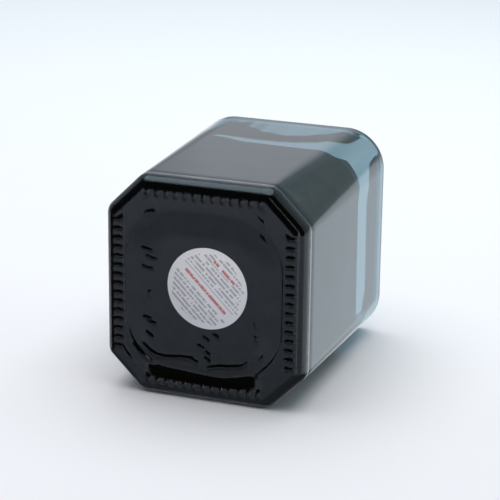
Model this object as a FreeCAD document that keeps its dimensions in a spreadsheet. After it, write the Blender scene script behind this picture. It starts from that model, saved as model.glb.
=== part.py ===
import FreeCAD, Part
import math
import os
import Sketcher
from FreeCAD import Vector

# Jar candle: a rounded-square smoky glass jar, a dark wax fill with one wick, and a round paper label
# under the base. Millimetres, +Z from the base to the mouth, origin at the middle of the plane that
# the moulded ribs under the base stand on. X is across the narrow pair of sides, Y across the wide pair.

SIZES = [
    # alias, value, what it is
    ("jar_width", 80.0, "jar across X"),
    ("jar_depth", 86.0, "jar across Y"),
    ("jar_height", 101.0, "rib tops to rim"),
    ("corner_round", 16.5, "radius of the four upright corners"),
    ("glass_wall", 4.0, "wall of the jar up to the mouth band"),
    ("mouth_wall", 5.0, "wall of the thicker band at the mouth"),
    ("band_below_rim", 22.0, "rim down to where the wall begins to thicken"),
    ("band_full_below_rim", 11.0, "rim down to where the wall has its full mouth thickness"),
    ("rim_round", 1.7, "fire-polished edge, inside and outside"),
    ("glass_floor", 10.0, "thickness of the glass under the wax"),
    ("cavity_round", 14.0, "radius of the cavity's upright corners, which keeps glass behind the facets"),
    ("mouth_round", 10.3, "radius of the mouth's corners, inside"),
    ("floor_round", 6.0, "radius between the cavity's floor and walls"),
    ("heel_round", 4.8, "radius between the base and the sides"),
    ("facet_leg", 14.4, "leg of the flat corner facet at the base"),
    ("facet_below_rim", 3.0, "rim down to where a corner facet has faded out"),
    ("facet_margin", 0.2, "how far a faded facet stands off the round corner"),
    ("cutter_overhang", 5.0, "how far the corners' cutter reaches outside the jar"),
    ("pushup_radius", 32.0, "round recess under the base"),
    ("pushup_rise", 0.7, "depth of that recess"),
    ("rib_rise", 0.35, "height of a moulded rib under the base"),
    ("rib_length", 4.4, "rib across the base's edge"),
    ("rib_breadth", 1.1, "rib along the base's edge"),
    ("rib_inset", 3.5, "jar's side to a rib's outer end"),
    ("rib_pitch_x", 3.7, "ribs in the two rows along X"),
    ("rib_count_x", 13.0, "ribs in each row along X"),
    ("rib_pitch_y", 3.6, "ribs in the two rows along Y"),
    ("rib_count_y", 15.0, "ribs in each row along Y"),
    ("label_radius", 15.9, "round paper label"),
    ("label_thickness", 0.15, "paper and its glue"),
    ("label_shift_x", 1.5, "label stuck off centre towards +X"),
    ("label_shift_y", 2.0, "label stuck off centre towards -Y"),
    ("wax_height", 57.0, "depth of the wax"),
    ("pad_radius", 8.5, "glue pad under the wick's tab"),
    ("pad_thickness", 0.8, "glue pad"),
    ("tab_radius", 10.0, "steel tab that anchors the wick"),
    ("tab_thickness", 0.4, "the tab's sheet"),
    ("neck_wall", 0.4, "wall of the tab's crimped neck"),
    ("neck_rise", 5.0, "neck above the tab's disc"),
    ("wick_radius", 1.4, "braided cotton wick"),
    ("core_radius", 0.6, "stiff paper core of the wick"),
    ("wick_above_wax", 7.0, "length of wick that stands out of the wax"),
]

doc = FreeCAD.newDocument("JarCandle")
sheet = doc.addObject("Spreadsheet::Sheet", "Sizes")
for row, (alias, value, note) in enumerate(SIZES, start=1):
    sheet.set(f"A{row}", note)
    sheet.set(f"B{row}", str(value))
    sheet.setAlias(f"B{row}", alias)
doc.recompute()

# Heights that several pieces share, as expressions of the sheet
BASE = "Sizes.rib_rise"
LABEL_SEAT = f"({BASE} + Sizes.pushup_rise)"
FLOOR = f"({BASE} + Sizes.glass_floor)"
WAX_TOP = f"({FLOOR} + Sizes.wax_height)"
TAB_UNDER = f"({FLOOR} + Sizes.pad_thickness)"
TAB_OVER = f"({TAB_UNDER} + Sizes.tab_thickness)"
NECK_TOP = f"({TAB_OVER} + Sizes.neck_rise)"
WICK_TOP = f"({WAX_TOP} + Sizes.wick_above_wax)"
NECK_RADIUS = "(Sizes.wick_radius + Sizes.neck_wall)"
LEVEL_MATCH = 1e-4   # mm within which an edge lies at a height


def number(expression):
    """The value of an expression of the sheet, without a unit."""
    value = sheet.evalExpression(str(expression))
    return float(getattr(value, "Value", value))


def new_body(name):
    """A PartDesign body whose label names its file."""
    body = doc.addObject("PartDesign::Body", name)
    body.Label = name
    return body


def origin_feature(body, role):
    """An origin plane or axis of a body, such as XY_Plane."""
    return next(item for item in body.Origin.OriginFeatures if item.Role == role)


def sketch_on(body, name, role, level="0"):
    """A sketch on a body's origin plane, raised along the plane's normal."""
    sketch = body.newObject("Sketcher::SketchObject", name)
    sketch.AttachmentSupport = [(origin_feature(body, role), "")]
    sketch.MapMode = "FlatFace"
    sketch.setExpression("AttachmentOffset.Base.z", level)
    return sketch


def drive(sketch, kind, places, expression):
    """A driving dimension of a sketch, bound to the sheet."""
    index = sketch.addConstraint(Sketcher.Constraint(kind, *places, number(expression)))
    sketch.setExpression(f"Constraints[{index}]", str(expression))


def line(sketch, start, end):
    """A straight edge between two points of the sketch's plane."""
    return sketch.addGeometry(Part.LineSegment(Vector(*start, 0), Vector(*end, 0)), False)


def rounded_rectangle(body, name, inset, level, radius=None):
    """The jar's outline, moved inwards by inset: a centred rectangle with round corners."""
    sketch = sketch_on(body, name, "XY_Plane", level)
    width = f"(Sizes.jar_width - 2 * {inset})"
    depth = f"(Sizes.jar_depth - 2 * {inset})"
    radius = radius or f"(Sizes.corner_round - {inset})"
    half_x = number(width) / 2
    half_y = number(depth) / 2
    round_ = number(radius)
    in_x = half_x - round_
    in_y = half_y - round_
    quarter = math.pi / 2
    sides = [
        ((-in_x, -half_y), (in_x, -half_y), (in_x, -in_y), -quarter),
        ((half_x, -in_y), (half_x, in_y), (in_x, in_y), 0.0),
        ((in_x, half_y), (-in_x, half_y), (-in_x, in_y), quarter),
        ((-half_x, in_y), (-half_x, -in_y), (-in_x, -in_y), 2 * quarter),
    ]
    edges = []
    for start, end, centre, angle in sides:
        edges.append(line(sketch, start, end))
        circle = Part.Circle(Vector(*centre, 0), Vector(0, 0, 1), round_)
        edges.append(sketch.addGeometry(Part.ArcOfCircle(circle, angle, angle + quarter), False))
    for index, edge in enumerate(edges):
        following = edges[(index + 1) % len(edges)]
        sketch.addConstraint(Sketcher.Constraint("Tangent", edge, 2, following, 1))
    front, right, back, left = edges[0::2]
    sketch.addConstraint(Sketcher.Constraint("Horizontal", back))
    sketch.addConstraint(Sketcher.Constraint("Vertical", left))
    for arc in edges[3::2]:
        sketch.addConstraint(Sketcher.Constraint("Equal", edges[1], arc))
    sketch.addConstraint(Sketcher.Constraint("Symmetric", front, 1, front, 2, -2))
    sketch.addConstraint(Sketcher.Constraint("Symmetric", right, 1, right, 2, -1))
    drive(sketch, "Radius", (edges[1],), radius)
    drive(sketch, "DistanceX", (left, 1, right, 1), width)
    drive(sketch, "DistanceY", (front, 1, back, 1), depth)
    return sketch


def circle_sketch(body, name, radius, level, bore=None):
    """A circle about the jar's axis, with a round hole if bore is given."""
    sketch = sketch_on(body, name, "XY_Plane", level)
    for size in filter(None, (radius, bore)):
        circle = Part.Circle(Vector(0, 0, 0), Vector(0, 0, 1), number(size))
        index = sketch.addGeometry(circle, False)
        sketch.addConstraint(Sketcher.Constraint("Coincident", index, 3, -1, 1))
        drive(sketch, "Radius", (index,), size)
    return sketch


def stepped_profile(body, name, steps, bottom, bore=None):
    """Half of a turned profile on the XZ plane: steps are (radius, top) pairs from the bottom up.
    The profile is closed on the axis, or on a bore's wall."""
    sketch = sketch_on(body, name, "XZ_Plane")
    inner = bore or "0"
    corners = [(inner, bottom), (steps[0][0], bottom)]
    for index, (radius, top) in enumerate(steps):
        corners.append((radius, top))
        if index + 1 < len(steps):
            corners.append((steps[index + 1][0], top))
    corners.append((inner, steps[-1][1]))
    points = [(number(x), number(z)) for x, z in corners]
    edges = [line(sketch, points[i], points[(i + 1) % len(points)]) for i in range(len(points))]
    for index, edge in enumerate(edges):
        following = edges[(index + 1) % len(edges)]
        sketch.addConstraint(Sketcher.Constraint("Coincident", edge, 2, following, 1))
        kind = "Horizontal" if index % 2 == 0 else "Vertical"
        sketch.addConstraint(Sketcher.Constraint(kind, edge))
    # one size for each upright edge's radius and each level edge's height
    for index, edge in enumerate(edges):
        x, z = corners[index]
        if index % 2 == 0:
            drive(sketch, "DistanceY", (-1, 1, edge, 1), z)
        elif x != "0":
            drive(sketch, "DistanceX", (-1, 1, edge, 1), x)
        else:
            sketch.addConstraint(Sketcher.Constraint("PointOnObject", edge, 1, -2))
    return sketch


def pad(body, name, sketch, length):
    """Material from a sketch, upwards."""
    feature = body.newObject("PartDesign::Pad", name)
    feature.Profile = sketch
    feature.setExpression("Length", length)
    return feature


def pocket(body, name, sketch, length, upwards):
    """A straight cut from a sketch, upwards or downwards."""
    feature = body.newObject("PartDesign::Pocket", name)
    feature.Profile = sketch
    feature.Reversed = upwards
    feature.setExpression("Length", length)
    return feature


def turned(body, name, kind, sketch):
    """A full turn of a profile about the jar's axis, added or cut."""
    feature = body.newObject(f"PartDesign::{kind}", name)
    feature.Profile = sketch
    feature.ReferenceAxis = (sketch, ["V_Axis"])
    feature.Angle = 360
    return feature


def level_edges(shape, level):
    """Names of the edges that lie flat at a height."""
    names = []
    for index, edge in enumerate(shape.Edges, start=1):
        box = edge.BoundBox
        if abs(box.ZMin - level) < LEVEL_MATCH and abs(box.ZMax - level) < LEVEL_MATCH:
            names.append(f"Edge{index}")
    return names


def fillet(body, name, base, edges, radius):
    """Rounds edges of a feature."""
    feature = body.newObject("PartDesign::Fillet", name)
    feature.Base = (base, edges)
    feature.setExpression("Radius", radius)
    doc.recompute()
    return feature


def mirrored(body, name, plane_role):
    """A mirror step for a MultiTransform."""
    step = body.newObject("PartDesign::Mirrored", name)
    step.MirrorPlane = (origin_feature(body, plane_role), [""])
    return step


def transformed(body, name, original, steps):
    """Repeats one feature by several steps, one after another."""
    feature = body.newObject("PartDesign::MultiTransform", name)
    feature.Originals = [original]
    feature.Transformations = steps
    body.Tip = feature
    doc.recompute()
    return feature


def octagon(body, name, leg, level):
    """The jar's straight sides joined by 45 degree corners with legs of the given length."""
    sketch = sketch_on(body, name, "XY_Plane", level)
    half_x = "(Sizes.jar_width / 2)"
    half_y = "(Sizes.jar_depth / 2)"
    x = number(half_x)
    y = number(half_y)
    cut = number(leg)
    points = [
        (cut - x, -y), (x - cut, -y), (x, cut - y), (x, y - cut),
        (x - cut, y), (cut - x, y), (-x, y - cut), (-x, cut - y),
    ]
    edges = [line(sketch, points[i], points[(i + 1) % 8]) for i in range(8)]
    for index, edge in enumerate(edges):
        sketch.addConstraint(Sketcher.Constraint("Coincident", edge, 2, edges[(index + 1) % 8], 1))
    front, right, back, left = edges[0::2]
    for edge, axis in ((front, -2), (right, -1), (back, -2), (left, -1)):
        sketch.addConstraint(Sketcher.Constraint("Symmetric", edge, 1, edge, 2, axis))
    drive(sketch, "DistanceX", (front, 1, front, 2), f"2 * ({half_x} - {leg})")
    drive(sketch, "DistanceX", (back, 2, back, 1), f"2 * ({half_x} - {leg})")
    drive(sketch, "DistanceY", (right, 1, right, 2), f"2 * ({half_y} - {leg})")
    drive(sketch, "DistanceY", (left, 2, left, 1), f"2 * ({half_y} - {leg})")
    drive(sketch, "DistanceY", (front, 1, -1, 1), half_y)
    drive(sketch, "DistanceY", (-1, 1, back, 1), half_y)
    drive(sketch, "DistanceX", (-1, 1, right, 1), half_x)
    drive(sketch, "DistanceX", (left, 1, -1, 1), half_x)
    return sketch


def surround(sketch):
    """A rectangle outside the jar, so that a cut from the sketch takes all that lies between."""
    half_x = "(Sizes.jar_width / 2 + Sizes.cutter_overhang)"
    half_y = "(Sizes.jar_depth / 2 + Sizes.cutter_overhang)"
    x = number(half_x)
    y = number(half_y)
    points = [(-x, -y), (x, -y), (x, y), (-x, y)]
    edges = [line(sketch, points[i], points[(i + 1) % 4]) for i in range(4)]
    for index, edge in enumerate(edges):
        sketch.addConstraint(Sketcher.Constraint("Coincident", edge, 2, edges[(index + 1) % 4], 1))
        kind = "Horizontal" if index % 2 == 0 else "Vertical"
        sketch.addConstraint(Sketcher.Constraint(kind, edge))
    drive(sketch, "DistanceX", (edges[0], 1, -1, 1), half_x)
    drive(sketch, "DistanceY", (edges[0], 1, -1, 1), half_y)
    drive(sketch, "DistanceX", (-1, 1, edges[2], 1), half_x)
    drive(sketch, "DistanceY", (-1, 1, edges[2], 1), half_y)


def rib_row(body, name, along_x):
    """Two rows of moulded ribs on opposite sides of the base: one rib, repeated and mirrored."""
    side = "Sizes.jar_depth" if along_x else "Sizes.jar_width"
    pitch = "Sizes.rib_pitch_x" if along_x else "Sizes.rib_pitch_y"
    count = "Sizes.rib_count_x" if along_x else "Sizes.rib_count_y"
    outer = f"({side} / 2 - Sizes.rib_inset)"
    inner = f"({outer} - Sizes.rib_length)"
    first = f"({pitch} * ({count} - 1) / 2)"
    near = f"({first} - Sizes.rib_breadth / 2)"
    far = f"({first} + Sizes.rib_breadth / 2)"
    low_x, high_x, low_y, high_y = (near, far, inner, outer) if along_x else (inner, outer, near, far)
    sketch = sketch_on(body, f"{name}_outline", "XY_Plane")
    xs = (number(low_x), number(high_x))
    ys = (number(low_y), number(high_y))
    points = [(xs[0], ys[0]), (xs[1], ys[0]), (xs[1], ys[1]), (xs[0], ys[1])]
    edges = [line(sketch, points[i], points[(i + 1) % 4]) for i in range(4)]
    for index, edge in enumerate(edges):
        sketch.addConstraint(Sketcher.Constraint("Coincident", edge, 2, edges[(index + 1) % 4], 1))
        kind = "Horizontal" if index % 2 == 0 else "Vertical"
        sketch.addConstraint(Sketcher.Constraint(kind, edge))
    drive(sketch, "DistanceX", (-1, 1, edges[0], 1), low_x)
    drive(sketch, "DistanceY", (-1, 1, edges[0], 1), low_y)
    drive(sketch, "DistanceX", (-1, 1, edges[1], 2), high_x)
    drive(sketch, "DistanceY", (-1, 1, edges[1], 2), high_y)
    rib = pad(body, name, sketch, f"{BASE} + Sizes.heel_round / 4")
    row = body.newObject("PartDesign::LinearPattern", f"{name}_row")
    row.Direction = (sketch, ["H_Axis" if along_x else "V_Axis"])
    row.Reversed = True
    row.setExpression("Length", f"{pitch} * ({count} - 1)")
    row.setExpression("Occurrences", count)
    mirror = mirrored(body, f"{name}_mirror", "XZ_Plane" if along_x else "YZ_Plane")
    return transformed(body, f"{name}s", rib, [row, mirror])


# The glass jar. An octagonal block whose corner facets fade out upwards gets its heel rounded, then the
# round upright corners are cut, then the cavity and the mouth, and last the base's recess and ribs
jar = new_body("glass_jar")
FACET_TOP = "(Sizes.jar_height - Sizes.facet_below_rim)"
FADED_LEG = "(Sizes.corner_round * (2 - sqrt(2)) - Sizes.facet_margin)"
facet_low = octagon(jar, "facet_low", "Sizes.facet_leg", BASE)
facet_high = octagon(jar, "facet_high", FADED_LEG, FACET_TOP)
facets = jar.newObject("PartDesign::AdditiveLoft", "facets")
facets.Profile = facet_low
facets.Sections = [facet_high]
facets.Ruled = True
block = pad(jar, "jar_block", facet_high, "Sizes.facet_below_rim")
doc.recompute()
heel_edges = level_edges(block.Shape, number(BASE))
fillet(jar, "heel_fillet", block, heel_edges, "Sizes.heel_round")
corner_outline = rounded_rectangle(jar, "corner_outline", "0", "Sizes.jar_height")
surround(corner_outline)
pocket(jar, "corner_rounds", corner_outline, "Sizes.jar_height", upwards=False)
doc.recompute()

MOUTH_ROUND = "Sizes.mouth_round"
BAND_START = "(Sizes.jar_height - Sizes.band_below_rim)"
BAND_FULL = "(Sizes.jar_height - Sizes.band_full_below_rim)"
mouth_outline = rounded_rectangle(jar, "mouth_outline", "Sizes.mouth_wall", "Sizes.jar_height", MOUTH_ROUND)
pocket(jar, "mouth", mouth_outline, "Sizes.band_full_below_rim", upwards=False)
band_high = rounded_rectangle(jar, "band_high", "Sizes.mouth_wall", BAND_FULL, MOUTH_ROUND)
CAVITY_ROUND = "Sizes.cavity_round"
band_low = rounded_rectangle(jar, "band_low", "Sizes.glass_wall", BAND_START, CAVITY_ROUND)
band = jar.newObject("PartDesign::SubtractiveLoft", "band")
band.Profile = band_low
band.Sections = [band_high]
band.Ruled = True
cavity_outline = rounded_rectangle(jar, "cavity_outline", "Sizes.glass_wall", FLOOR, CAVITY_ROUND)
cavity = pocket(jar, "cavity", cavity_outline, f"{BAND_START} - {FLOOR}", upwards=True)
doc.recompute()

floor_edges = level_edges(cavity.Shape, number(FLOOR))
floor_fillet = fillet(jar, "floor_fillet", cavity, floor_edges, "Sizes.floor_round")
rim_edges = level_edges(floor_fillet.Shape, number("Sizes.jar_height"))
fillet(jar, "rim_fillet", floor_fillet, rim_edges, "Sizes.rim_round")

pushup_outline = circle_sketch(jar, "pushup_outline", "Sizes.pushup_radius", BASE)
pocket(jar, "pushup", pushup_outline, "Sizes.pushup_rise", upwards=True)
doc.recompute()
rib_row(jar, "rib_x", along_x=True)
rib_row(jar, "rib_y", along_x=False)

# The wax: it fills the cavity round the wick, its tab and the glue pad
wax = new_body("wax_fill")
wax_outline = rounded_rectangle(wax, "wax_outline", "Sizes.glass_wall", FLOOR, CAVITY_ROUND)
wax_block = pad(wax, "wax_block", wax_outline, "Sizes.wax_height")
doc.recompute()
fillet(wax, "wax_fillet", wax_block, level_edges(wax_block.Shape, number(FLOOR)), "Sizes.floor_round")
WICK_STEPS = [
    ("Sizes.pad_radius", TAB_UNDER),
    ("Sizes.tab_radius", TAB_OVER),
    (NECK_RADIUS, NECK_TOP),
    ("Sizes.wick_radius", WAX_TOP),
]
turned(wax, "wick_space", "Groove", stepped_profile(wax, "wick_space_profile", WICK_STEPS, FLOOR))

# The wick stands on the glue pad, held by the crimped neck of its steel tab
glue = new_body("glue_pad")
pad(glue, "glue_disc", circle_sketch(glue, "glue_outline", "Sizes.pad_radius", FLOOR), "Sizes.pad_thickness")

tab = new_body("wick_tab")
TAB_STEPS = [("Sizes.tab_radius", TAB_OVER), (NECK_RADIUS, NECK_TOP)]
tab_profile = stepped_profile(tab, "tab_profile", TAB_STEPS, TAB_UNDER, bore="Sizes.wick_radius")
turned(tab, "tab_turned", "Revolution", tab_profile)

braid = new_body("wick_braid")
CORE_RADIUS = "Sizes.core_radius"
braid_outline = circle_sketch(braid, "braid_outline", "Sizes.wick_radius", TAB_UNDER, bore=CORE_RADIUS)
pad(braid, "braid_tube", braid_outline, f"{WICK_TOP} - {TAB_UNDER}")

core = new_body("wick_core")
core_outline = circle_sketch(core, "core_outline", CORE_RADIUS, TAB_UNDER)
pad(core, "core_rod", core_outline, f"{WICK_TOP} - {TAB_UNDER}")

# The label is stuck inside the recess under the base, clear of what the jar stands on
label = new_body("base_label")
LABEL_UNDER = f"{LABEL_SEAT} - Sizes.label_thickness"
label_outline = sketch_on(label, "label_outline", "XY_Plane", LABEL_UNDER)
label_middle = Vector(number("Sizes.label_shift_x"), -number("Sizes.label_shift_y"), 0)
label_circle = Part.Circle(label_middle, Vector(0, 0, 1), number("Sizes.label_radius"))
label_edge = label_outline.addGeometry(label_circle, False)
drive(label_outline, "DistanceX", (-1, 1, label_edge, 3), "Sizes.label_shift_x")
drive(label_outline, "DistanceY", (label_edge, 3, -1, 1), "Sizes.label_shift_y")
drive(label_outline, "Radius", (label_edge,), "Sizes.label_radius")
pad(label, "label_disc", label_outline, "Sizes.label_thickness")

doc.recompute()

# Nothing is written unless every object is sound
for item in doc.Objects:
    if "Invalid" in item.State or "Error" in item.State:
        raise RuntimeError(f"{item.Label} failed: {item.State}")
os.makedirs("parts", exist_ok=True)
for body in (jar, wax, glue, tab, braid, core, label):
    if body.Shape.isNull() or not body.Shape.isValid():
        raise RuntimeError(f"{body.Label} has no valid shape")
    body.Shape.exportStep(f"parts/{body.Label}.step")
    print(f"{body.Label}: {len(body.Shape.Solids)} solid, {body.Shape.Volume / 1000:.2f} ml")
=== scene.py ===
import math

import bmesh
import bpy
from mathutils import Matrix, Vector, noise


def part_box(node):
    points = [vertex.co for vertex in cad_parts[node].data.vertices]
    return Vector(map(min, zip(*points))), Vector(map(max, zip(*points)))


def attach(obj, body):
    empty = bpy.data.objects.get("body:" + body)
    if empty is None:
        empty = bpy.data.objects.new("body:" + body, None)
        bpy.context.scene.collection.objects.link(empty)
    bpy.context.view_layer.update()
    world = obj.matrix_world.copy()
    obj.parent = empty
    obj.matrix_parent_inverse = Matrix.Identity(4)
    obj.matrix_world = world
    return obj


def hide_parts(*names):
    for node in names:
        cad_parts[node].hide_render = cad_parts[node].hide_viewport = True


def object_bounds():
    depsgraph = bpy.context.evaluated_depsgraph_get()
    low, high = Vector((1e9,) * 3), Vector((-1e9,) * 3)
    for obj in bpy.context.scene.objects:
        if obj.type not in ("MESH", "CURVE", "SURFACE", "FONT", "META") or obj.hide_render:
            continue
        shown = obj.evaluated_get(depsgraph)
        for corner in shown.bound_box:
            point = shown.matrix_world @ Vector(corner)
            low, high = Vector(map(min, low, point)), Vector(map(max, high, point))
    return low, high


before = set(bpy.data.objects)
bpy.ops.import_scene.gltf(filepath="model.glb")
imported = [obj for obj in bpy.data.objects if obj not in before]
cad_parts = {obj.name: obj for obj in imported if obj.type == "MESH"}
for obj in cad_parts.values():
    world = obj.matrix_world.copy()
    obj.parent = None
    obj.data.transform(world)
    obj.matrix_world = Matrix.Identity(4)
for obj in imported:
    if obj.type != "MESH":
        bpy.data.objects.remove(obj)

# A jar candle: smoky glass jar, dark wax, braided wick, paper label. Metres, +Z from base to mouth.
# The photograph shows the jar lying on its +Y side with its base to the camera, so photo-up is -Y.

MM = 0.001
BODY = "root"
cad_low, cad_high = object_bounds()
_, jar_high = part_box("glass_jar")
wax_low, wax_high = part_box("wax_fill")
wick_low, wick_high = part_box("wick_braid")
label_low, label_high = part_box("base_label")

# Sizes that the frame gives
HALF_X = jar_high.x
HALF_Y = jar_high.y
JAR_TOP = jar_high.z
WALL = HALF_X - wax_high.x
CAVITY_FLOOR = wax_low.z
WAX_TOP = wax_high.z
LABEL_RADIUS = (label_high.x - label_low.x) / 2
LABEL_MIDDLE = (label_low + label_high) / 2
LABEL_SEAT = label_high.z

# Sizes that repeat the part's source
CORNER = 16.5 * MM
RIM_ROUND = 1.7 * MM
FLOOR_ROUND = 6.0 * MM
HEEL_ROUND = 4.8 * MM
FACET_LEG = 14.4 * MM
FACET_RISE = 98.0 * MM
CAVITY_ROUND = 14.0 * MM
PUSHUP_RISE = 0.7 * MM
RIB_RISE = 0.35 * MM
RIB_LENGTH = 4.4 * MM
RIB_INSET = 3.5 * MM
RIB_ROWS = (
    # axis the row runs along, pitch, ribs in the row
    (0, 3.7 * MM, 13),
    (1, 3.6 * MM, 15),
)
BASE = LABEL_SEAT - PUSHUP_RISE
FACET_MARGIN = 0.2 * MM
FADE = 2.0 - math.sqrt(2.0)     # leg of the flat that just touches a round corner of radius 1
FADED_LEG = CORNER * FADE - FACET_MARGIN

# Sizes of the looks alone
RIB_SPREAD = 0.85 * MM      # half a rib's breadth where it melts into the base
RIB_FULLNESS = 1.15         # above 1, so that a rib's crest is flat
MARK_RISE = 0.34 * MM
MARK_EDGE = (0.15 * MM, 0.75 * MM)      # distances from a mark's line: still full, and gone
RECESS_HALF = Vector((31.0, 32.4)) * MM
RECESS_TURN = 22.0 * MM     # radius of the recess's corners
STEP_WIDTH = 0.6 * MM
STEP_SHARE = 0.35           # this much of the recess's depth is its fine edge step
STEP_FADE = (-30.0 * MM, -14.0 * MM)    # Y over which the step fades away towards -Y
DISH_WIDTH = 12.0 * MM      # the rest comes gently over this width inside the step
SLOPE_END = 37.2 * MM       # Y where the sloping edge ends level
SLOPE_HALF = 20.0 * MM      # half its length along X
SLOPE_FADE = 4.0 * MM       # beyond its ends it turns into the step over this much of X
SLOPE_BLEND = 20.0 * MM     # and from the base's middle it takes over within this much of Y
SLOPE_BEND = 2.4 * MM       # it starts this much nearer the middle at its ends
SLOPE_WANDER = 0.9 * MM
SLOPE_WAVES = 60.0          # scale of the wandering, per metre
SLOPE_SEED = 0.3
HOLLOW = 0.34 * MM
HOLLOW_SPREAD = 2.0 * MM
STREAK_RISE = 0.32 * MM
STREAK_EDGE = (0.15 * MM, 1.1 * MM)     # distances from a wrinkle's line: still full, and gone
MOULD_MARKS = (
    # x, y, length, turn: generic bars and dots, in mm and degrees
    (-20.8, -29.2, 3.4, 0.0),
    (-21.0, -26.3, 1.8, 35.0),
    (-21.2, -24.3, 1.2, 100.0),
    (-22.6, -14.6, 3.4, 12.0),
    (-21.0, -11.4, 3.4, 12.0),
    (-22.3, -7.3, 3.6, 12.0),
    (-21.8, 3.0, 2.0, 100.0),
    (-22.8, 12.6, 2.6, 15.0),
    (-20.8, 14.4, 2.6, 15.0),
    (-21.6, 19.4, 2.8, 35.0),
    (22.9, -30.3, 1.4, 80.0),
    (22.9, -27.9, 1.4, 100.0),
    (23.4, -24.2, 3.0, 55.0),
    (24.0, -21.6, 1.2, 10.0),
    (20.9, 10.3, 1.6, 60.0),
    (21.4, 16.0, 2.6, 75.0),
    (21.8, 21.6, 2.2, 40.0),
    (23.0, 23.2, 1.6, 100.0),
    (1.2, 18.0, 2.4, 30.0),
    (5.2, 16.4, 2.0, 30.0),
    (-0.8, 21.6, 2.6, 30.0),
    (1.6, 23.6, 2.6, 30.0),
    (2.0, 26.4, 2.4, 30.0),
    (-3.6, 28.2, 1.8, 60.0),
    (21.8, 29.6, 2.2, 50.0),
)
STREAKS = (
    # points of the chill wrinkles beside the sloping edge: mm
    ((-28.1, 24.3), (-25.3, 27.2), (-22.2, 29.2), (-20.5, 30.0)),
    (
        (-23.8, 23.7), (-21.6, 26.2), (-18.5, 27.5), (-14.8, 27.6),
        (-9.3, 26.8), (-5.0, 26.9), (-2.9, 28.0),
    ),
    ((2.3, 29.6), (5.9, 28.6), (12.0, 27.9), (15.8, 27.1), (17.2, 26.0)),
    ((-31.6, 26.9), (-29.7, 30.0)),
)
GRIP = 0.08 * MM            # the wax's mesh reaches this far into the glass, so no gap shows
WALL_RIPPLE = 0.06 * MM
RIPPLE_WAVES = 28.0         # scale of the ripple, per metre
UNEVEN_FLOOR = 0.35 * MM
UNEVEN_WAVES = 45.0         # scale of the cavity floor's unevenness, per metre
UNEVEN_SEED = 0.7
CORNER_DRAFT = 0.083        # how fast the cavity's corners sharpen upwards
CORNER_DRAFT_START = 64.0 * MM
BAND_SLOPE = 0.068          # extra thickness of the wall per height
BAND_FADE = (0.20, 0.50)    # smaller part of the outward direction: full band, and none
BAND_EDGES = (
    # direction in degrees, heights in mm where the wall begins and ends to thicken
    (-180, 76, 96),
    (-150, 74, 98),
    (-126, 70, 98),
    (-118, 72.7, 95),
    (-110, 72, 88),
    (-100, 71, 82.5),
    (-85, 71, 79.9),
    (-76, 72.2, 82),
    (-66, 75, 88),
    (-58, 80.5, 95),
    (-50, 84, 99),
    (-40, 84, 99),
    (-24, 80.2, 99),
    (0, 80.6, 99),
    (27, 81, 99),
    (38, 77.5, 99),
    (90, 76, 95),
    (150, 75, 97),
    (180, 76, 96),
)
WAX_EDGE = (
    # direction in degrees, height in mm of the wax's edge over its level
    (-180, 0.4),
    (-126, 1.4),
    (-118, 1.2),
    (-100, -3.0),
    (-66, -4.2),
    (-54, -3.4),
    (-48, 3.0),
    (-40, 2.2),
    (-30, -0.2),
    (0, 0.4),
    (30, 0.8),
    (48, 2.2),
    (90, 0.6),
    (132, 2.0),
    (180, 0.4),
)
MENISCUS = 0.6 * MM
MENISCUS_REACH = 3.0 * MM
WAX_CUT = 9.0 * MM          # the wax's side is level up to this far under its top
WAX_LUMP = 0.12 * MM
LUMP_WAVES = 60.0           # scale of the lumps on the wax, per metre
WAX_DIP = 0.8 * MM          # how far the wax dips by the wick
DIP_SPREAD = 7.0 * MM
YARNS = 8
YARN = 0.30 * MM            # half a yarn's breadth before it is flattened
YARN_FLATTEN = (1.5, 0.8)   # factors along the wick's surface and out from it
YARN_SWING = 0.16 * MM      # how far a yarn passes in and out of the braid
YARN_LAY = 5.5 * MM         # height of one turn round the wick
YARN_CROSSINGS = 4.0        # times that a yarn passes in and out in one turn
YARN_STEPS = 150
YARN_SIDES = 7
LABEL_BITE = 0.02 * MM
LABEL_PRESS = 0.05 * MM
LABEL_INNER = 0.15          # the label's inmost ring, as a share of its radius
LABEL_STEPS = 128
FINE = (184, 204, 10)       # steps along an X side, along a Y side and round a third of a corner
COARSE = (40, 44, 10)
BASE_RINGS = (
    # steps, and the shares of the base's outline that they run between
    (4, 0.03, 0.36),
    (54, 0.38, 0.86),
    (18, 0.87, 1.0),
)
HEEL_STEPS = 20
SIDE_STEPS = 24
RIM_STEPS = 8
CAVITY_STEPS = (34, 28)     # steps up the cavity's wall for the glass and for the wax
CAVITY_FLOOR_STEPS = 10
CAVITY_ROUND_STEPS = 8
MENISCUS_STEPS = (8, 7)     # up the meniscus and back in from its crest
WAX_TOP_STEPS = 16
INMOST = 0.04               # the inmost ring of the wax and the cavity, as a share of the outline
FACET_TURN = 5.0 * MM       # radius of a facet's upright edges at the base
LEAST_TURN = 0.4 * MM       # no edge of a section is sharper
ROUND_LIMIT = 0.98          # rounding takes up at most this share of a corner's flat
SEAM_STEPS = (
    # height, inset: two fine mould seams above the heel
    (BASE + 4.9 * MM, 0.00 * MM),
    (BASE + 5.1 * MM, 0.12 * MM),
    (BASE + 5.3 * MM, 0.00 * MM),
    (BASE + 6.9 * MM, 0.00 * MM),
    (BASE + 7.1 * MM, 0.05 * MM),
    (BASE + 7.3 * MM, 0.00 * MM),
)

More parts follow.
